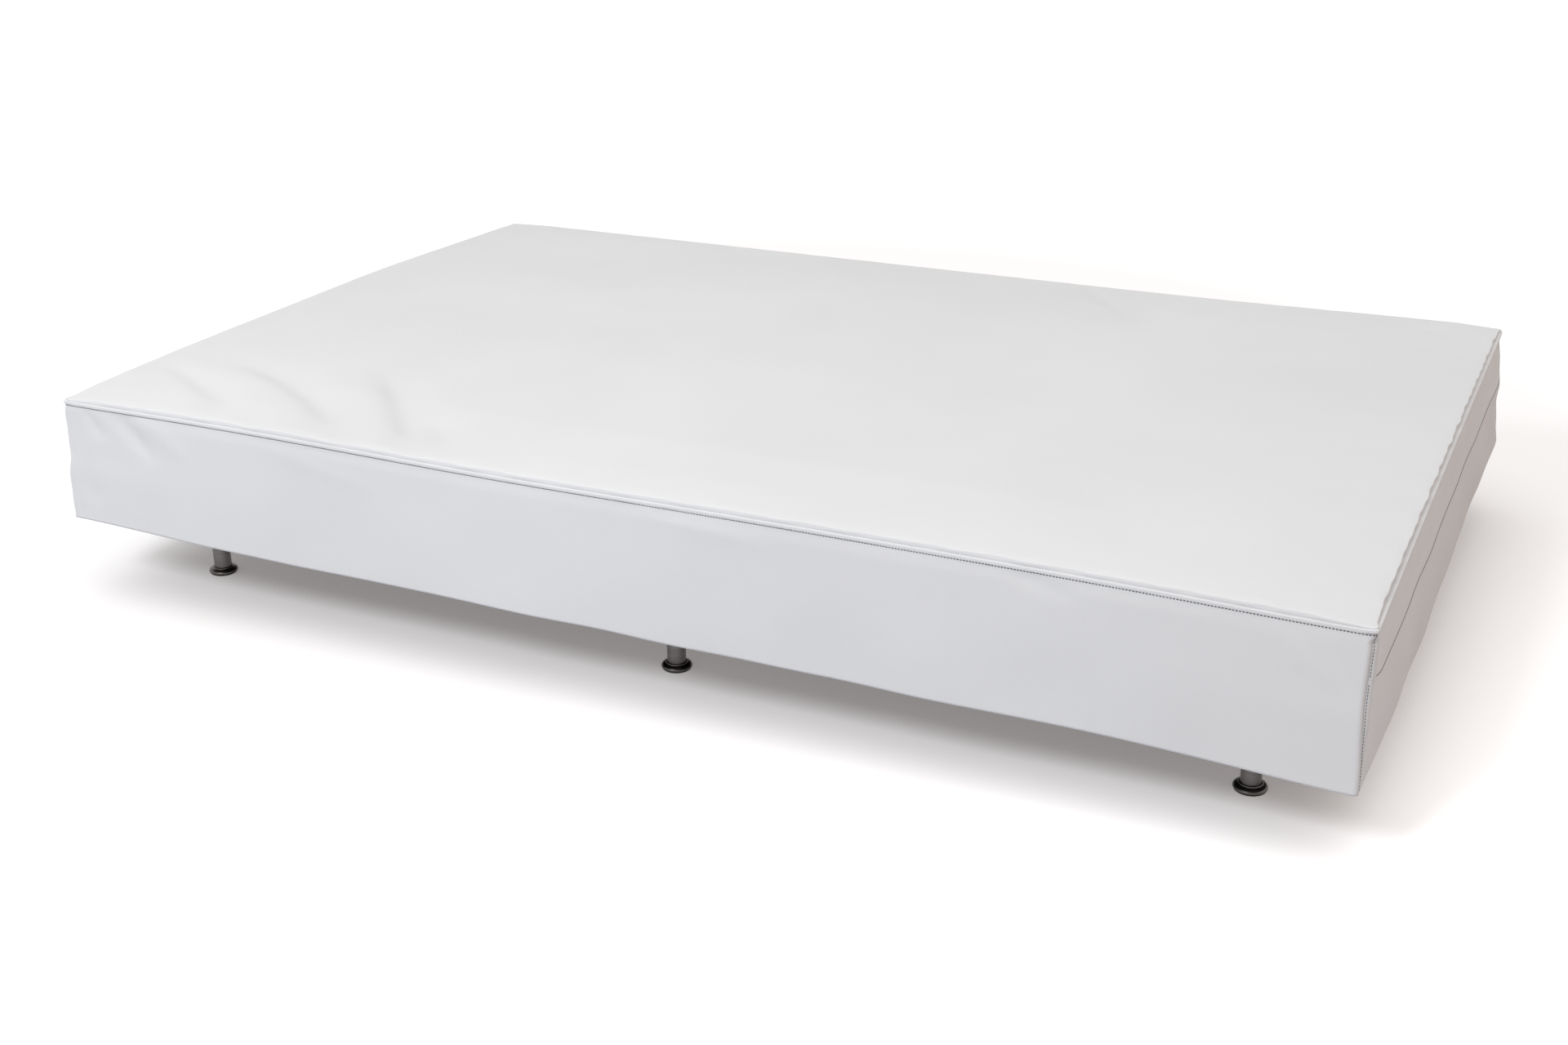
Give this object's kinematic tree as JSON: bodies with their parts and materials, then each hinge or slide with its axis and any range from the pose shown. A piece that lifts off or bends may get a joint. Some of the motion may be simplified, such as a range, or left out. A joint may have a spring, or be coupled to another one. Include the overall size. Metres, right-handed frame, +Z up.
{
  "type": "vibrating massage table",
  "caption": "Low padded platform to lie on, with a vibrating deck under a zipped faux-leather cover, on short steel legs.",
  "frame": {"origin": "on the floor under the middle of the platform", "axes": "+X along the platform to the zipped end, -Y to the front, +Z up"},
  "size_m": [2.02, 1.32, 0.336],
  "materials": {
    "white_faux_leather": "soft satin faux leather with a fine grain",
    "white_zip_tape": "woven zip tape",
    "zip_slider_metal": "nickel-plated zip slider",
    "pine_timber": "planed pine",
    "plywood_deck": "birch plywood",
    "black_dust_cloth": "non-woven dust cloth",
    "zinc_plated_steel": "zinc-plated steel",
    "buffer_rubber": "moulded rubber",
    "base_foam": "firm polyurethane foam",
    "comfort_foam": "soft polyurethane foam",
    "motor_casting": "die-cast aluminium",
    "bearing_steel": "ground steel",
    "stator_steel": "varnished laminations and windings",
    "cast_iron_weight": "cast iron",
    "black_plastic": "moulded black plastic",
    "grey_panel_plastic": "textured dark grey plastic",
    "green_circuit_board": "green circuit board",
    "black_lead": "flexible black sheath",
    "brushed_steel_leg": "dark brushed steel",
    "satin_steel_foot": "satin steel with a turned bevel",
    "pad_rubber": "black rubber"
  },
  "bodies": {
    "root": {"long_rails": "pine_timber", "end_rails": "pine_timber", "bearers": "pine_timber", "wood_screws": "zinc_plated_steel", "dust_cover": "black_dust_cloth", "rubber_buffers": "buffer_rubber", "control_box": "black_plastic", "control_panel": "grey_panel_plastic", "circuit_board": "green_circuit_board", "mains_inlet": "black_plastic", "flex_lead": "black_lead", "left_front_leg": "brushed_steel_leg", "left_back_leg": "brushed_steel_leg", "middle_front_leg": "brushed_steel_leg", "middle_back_leg": "brushed_steel_leg", "right_front_leg": "brushed_steel_leg", "right_back_leg": "brushed_steel_leg"},
    "deck": {"deck_board": "plywood_deck", "base_foam": "base_foam", "comfort_foam": "comfort_foam", "left_motor_housing": "motor_casting", "right_motor_housing": "motor_casting", "bearing_shields": "motor_casting", "ball_bearings": "bearing_steel", "stators": "stator_steel", "motor_end_caps": "black_plastic", "motor_bolts": "zinc_plated_steel", "wiring_loom": "black_lead", "cover_top_panel": "white_faux_leather", "cover_front_panel": "white_faux_leather", "cover_back_panel": "white_faux_leather", "cover_left_panel": "white_faux_leather", "cover_right_lower_panel": "white_faux_leather", "cover_right_upper_panel": "white_faux_leather", "zip_tape": "white_zip_tape"},
    "zip_slider": {"zip_slider": "zip_slider_metal"},
    "power_rocker": {"power_rocker": "black_plastic"},
    "intensity_knob": {"intensity_knob": "black_plastic"},
    "left_rotor": {"left_rotor": "bearing_steel", "left_eccentric_weights": "cast_iron_weight"},
    "right_rotor": {"right_rotor": "bearing_steel", "right_eccentric_weights": "cast_iron_weight"},
    "left_front_foot": {"left_front_foot": "satin_steel_foot", "left_front_pad": "pad_rubber"},
    "left_back_foot": {"left_back_foot": "satin_steel_foot", "left_back_pad": "pad_rubber"},
    "middle_front_foot": {"middle_front_foot": "satin_steel_foot", "middle_front_pad": "pad_rubber"},
    "middle_back_foot": {"middle_back_foot": "satin_steel_foot", "middle_back_pad": "pad_rubber"},
    "right_front_foot": {"right_front_foot": "satin_steel_foot", "right_front_pad": "pad_rubber"},
    "right_back_foot": {"right_back_foot": "satin_steel_foot", "right_back_pad": "pad_rubber"}
  },
  "joints": [
    {"name": "deck_bounce", "type": "slide", "parent": "root", "child": "deck", "axis": [0, 0, 1], "range_m": [-0.004, 0.002], "stiffness_N_per_m": 400000, "springref_m": 0.00144, "deforming": ["rubber_buffers", "flex_lead"]},
    {"name": "zip_slide", "type": "slide", "parent": "deck", "child": "zip_slider", "axis": [0, 1, 0], "range_m": [0, 1.15]},
    {"name": "power_rocker_tilt", "type": "hinge", "parent": "root", "child": "power_rocker", "pos_m": [0.261, 0.565, 0.127], "axis": [-1, 0, 0], "range_deg": [0, 16]},
    {"name": "intensity_knob_turn", "type": "hinge", "parent": "root", "child": "intensity_knob", "pos_m": [0.35, 0.565, 0.1155], "axis": [0, 0, -1], "range_deg": [0, 270]},
    {"name": "left_rotor_spin", "type": "hinge", "parent": "deck", "child": "left_rotor", "pos_m": [-0.425, 0, 0.188], "axis": [1, 0, 0], "continuous": true},
    {"name": "right_rotor_spin", "type": "hinge", "parent": "deck", "child": "right_rotor", "pos_m": [0.425, 0, 0.188], "axis": [1, 0, 0], "continuous": true},
    {"name": "left_front_foot_screw", "type": "slide", "parent": "root", "child": "left_front_foot", "axis": [0, 0, -1], "range_m": [0, 0.01]},
    {"name": "left_back_foot_screw", "type": "slide", "parent": "root", "child": "left_back_foot", "axis": [0, 0, -1], "range_m": [0, 0.01]},
    {"name": "middle_front_foot_screw", "type": "slide", "parent": "root", "child": "middle_front_foot", "axis": [0, 0, -1], "range_m": [0, 0.01]},
    {"name": "middle_back_foot_screw", "type": "slide", "parent": "root", "child": "middle_back_foot", "axis": [0, 0, -1], "range_m": [0, 0.01]},
    {"name": "right_front_foot_screw", "type": "slide", "parent": "root", "child": "right_front_foot", "axis": [0, 0, -1], "range_m": [0, 0.01]},
    {"name": "right_back_foot_screw", "type": "slide", "parent": "root", "child": "right_back_foot", "axis": [0, 0, -1], "range_m": [0, 0.01]}
  ]
}
